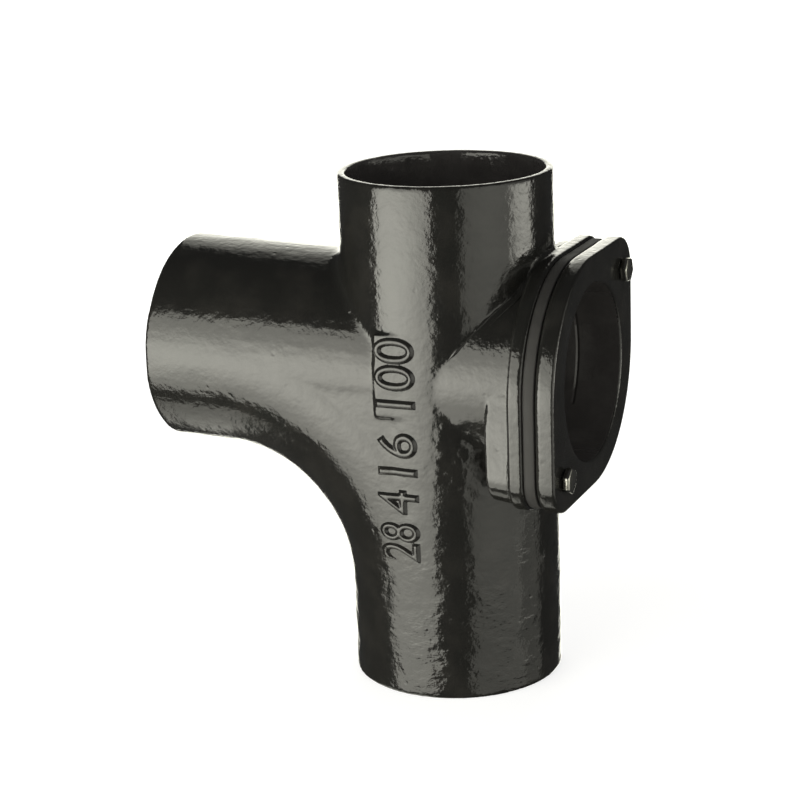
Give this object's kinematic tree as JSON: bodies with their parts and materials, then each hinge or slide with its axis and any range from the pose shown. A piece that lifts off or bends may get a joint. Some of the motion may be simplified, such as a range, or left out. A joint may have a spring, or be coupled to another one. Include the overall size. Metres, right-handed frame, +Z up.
{
  "type": "soil pipe access branch",
  "caption": "Black cast iron soil pipe branch: straight spigot barrel, swept side branch and, opposite it, a bolted access door on a rubber gasket.",
  "frame": {"origin": "centre of the lower spigot's end face", "axes": "+Z up the barrel's axis, the swept branch leaves toward -X, the access door faces +X"},
  "size_m": [0.2345, 0.128, 0.2675],
  "materials": {
    "black_casting": "gloss black paint",
    "gasket_rubber": "matt",
    "bolt_steel": "dull bright"
  },
  "bodies": {
    "root": {"branch_body": "black_casting", "door_gasket": "gasket_rubber", "access_door": "black_casting", "door_bolt_upper": "bolt_steel", "door_bolt_lower": "bolt_steel"}
  },
  "joints": []
}
